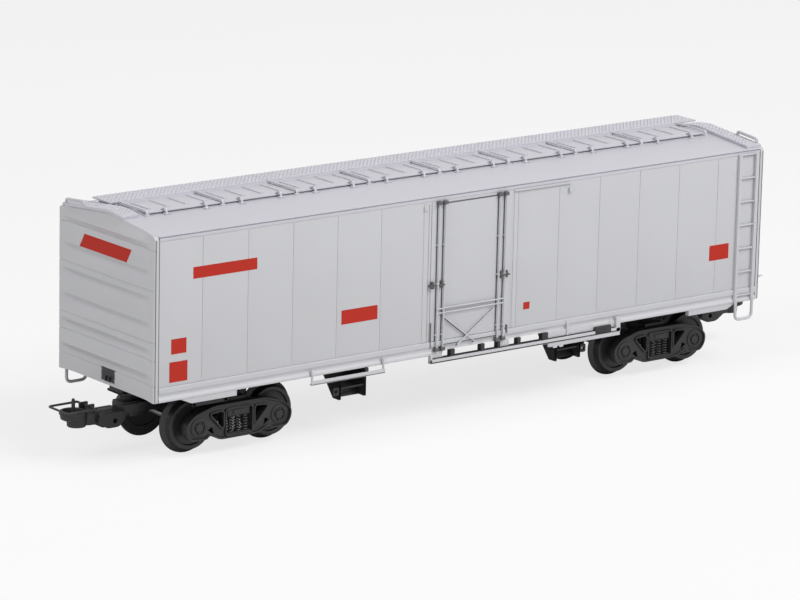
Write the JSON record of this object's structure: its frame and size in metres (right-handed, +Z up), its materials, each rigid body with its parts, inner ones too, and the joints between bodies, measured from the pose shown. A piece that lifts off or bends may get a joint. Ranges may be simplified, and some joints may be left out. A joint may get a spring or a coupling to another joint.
{
  "type": "model railway covered hopper wagon",
  "caption": "H0-scale covered hopper wagon: hollow panelled body, roof hatches, walkway, side doors, ladders, hopper outlets, swivelling bogies, rolling wheelsets and hinged coupler loops.",
  "frame": {"origin": "under the middle of the wagon, on the surface its wheel flanges stand on", "axes": "+X along the wagon, +Y to its rear side, +Z up; the pictured side is -Y"},
  "size_m": [0.1852, 0.0364, 0.0512],
  "materials": {
    "silver_plastic": "satin silver-grey moulded plastic",
    "roof_plastic": "satin silver-grey moulded plastic",
    "black_plastic": "matt black moulded plastic",
    "dark_metal": "blackened metal tyres",
    "steel": "bare steel"
  },
  "bodies": {
    "car_body": {"ballast_weight": "steel", "centre_sill": "black_plastic", "floor": "black_plastic", "front_brake_bar": "black_plastic", "front_door": "silver_plastic", "front_door_rods": "silver_plastic", "front_door_track": "silver_plastic", "front_gate_rail": "silver_plastic", "front_ladder": "silver_plastic", "front_left_chute": "black_plastic", "front_right_chute": "black_plastic", "front_side_wall": "silver_plastic", "front_step": "silver_plastic", "handbrake_shaft": "silver_plastic", "hatch_latches": "roof_plastic", "hatch_straps": "roof_plastic", "left_body_bolster": "black_plastic", "left_bogie_pivot": "black_plastic", "left_end_wall": "silver_plastic", "left_roof_grab_iron": "roof_plastic", "left_roof_platform": "roof_plastic", "rear_brake_bar": "black_plastic", "rear_door": "silver_plastic", "rear_door_rods": "silver_plastic", "rear_door_track": "silver_plastic", "rear_gate_rail": "silver_plastic", "rear_ladder": "silver_plastic", "rear_left_chute": "black_plastic", "rear_right_chute": "black_plastic", "rear_side_wall": "silver_plastic", "rear_step": "silver_plastic", "right_body_bolster": "black_plastic", "right_bogie_pivot": "black_plastic", "right_end_wall": "silver_plastic", "right_roof_grab_iron": "roof_plastic", "right_roof_platform": "roof_plastic", "roof": "roof_plastic", "roof_hatch_1": "roof_plastic", "roof_hatch_2": "roof_plastic", "roof_hatch_3": "roof_plastic", "roof_hatch_4": "roof_plastic", "roof_hatch_5": "roof_plastic", "roof_hatch_6": "roof_plastic", "roof_hatch_7": "roof_plastic", "roof_hatch_8": "roof_plastic", "roof_walkway": "roof_plastic"},
    "left_bogie": {"left_bogie_frame": "black_plastic", "left_coupler": "black_plastic"},
    "left_loop": {"left_coupler_loop": "black_plastic"},
    "left_outer_wheelset": {"left_outer_axle": "steel", "left_outer_wheels": "dark_metal"},
    "left_inner_wheelset": {"left_inner_axle": "steel", "left_inner_wheels": "dark_metal"},
    "right_bogie": {"right_bogie_frame": "black_plastic", "right_coupler": "black_plastic"},
    "right_loop": {"right_coupler_loop": "black_plastic"},
    "right_outer_wheelset": {"right_outer_axle": "steel", "right_outer_wheels": "dark_metal"},
    "right_inner_wheelset": {"right_inner_axle": "steel", "right_inner_wheels": "dark_metal"}
  },
  "joints": [
    {"name": "left_bogie_swivel", "type": "hinge", "parent": "car_body", "child": "left_bogie", "pos_m": [-0.0566, 0, 0.011], "axis": [0, 0, 1], "range_deg": [-10, 10]},
    {"name": "left_outer_roll", "type": "hinge", "parent": "left_bogie", "child": "left_outer_wheelset", "pos_m": [-0.0666, 0, 0.0063], "axis": [0, 1, 0], "continuous": true},
    {"name": "left_inner_roll", "type": "hinge", "parent": "left_bogie", "child": "left_inner_wheelset", "pos_m": [-0.0466, 0, 0.0063], "axis": [0, 1, 0], "continuous": true},
    {"name": "left_loop_lift", "type": "hinge", "parent": "left_bogie", "child": "left_loop", "pos_m": [-0.0855, 0, 0.01095], "axis": [0, 1, 0], "range_deg": [0, 25]},
    {"name": "right_bogie_swivel", "type": "hinge", "parent": "car_body", "child": "right_bogie", "pos_m": [0.0566, 0, 0.011], "axis": [0, 0, 1], "range_deg": [-10, 10]},
    {"name": "right_outer_roll", "type": "hinge", "parent": "right_bogie", "child": "right_outer_wheelset", "pos_m": [0.0666, 0, 0.0063], "axis": [0, 1, 0], "continuous": true},
    {"name": "right_inner_roll", "type": "hinge", "parent": "right_bogie", "child": "right_inner_wheelset", "pos_m": [0.0466, 0, 0.0063], "axis": [0, 1, 0], "continuous": true},
    {"name": "right_loop_lift", "type": "hinge", "parent": "right_bogie", "child": "right_loop", "pos_m": [0.0855, 0, 0.01095], "axis": [0, -1, 0], "range_deg": [0, 25]}
  ]
}
